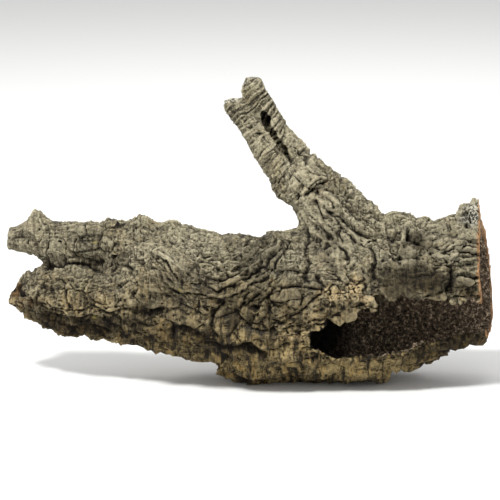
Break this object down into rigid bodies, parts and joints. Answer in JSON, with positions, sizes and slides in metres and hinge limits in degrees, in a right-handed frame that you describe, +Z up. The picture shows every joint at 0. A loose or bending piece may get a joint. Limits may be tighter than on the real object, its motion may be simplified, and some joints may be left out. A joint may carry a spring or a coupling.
{
  "type": "cork branch",
  "caption": "Hollow cork bark branch lying on its side, torn open along the front, with a forked left end and an upright split branch.",
  "frame": {"origin": "on the surface it rests on, under the middle of its footprint box", "axes": "+X along the trunk from the forks to the sawn end, +Y away from the open mouth, +Z up"},
  "size_m": [0.489, 0.1476, 0.3004],
  "materials": {
    "trunk_cork": "matte",
    "upper_fork_cork": "matte",
    "lower_fork_cork": "matte",
    "upright_branch_cork": "matte"
  },
  "bodies": {
    "root": {"trunk": "trunk_cork", "upper_fork": "upper_fork_cork", "lower_fork": "lower_fork_cork", "upright_branch": "upright_branch_cork"}
  },
  "joints": []
}
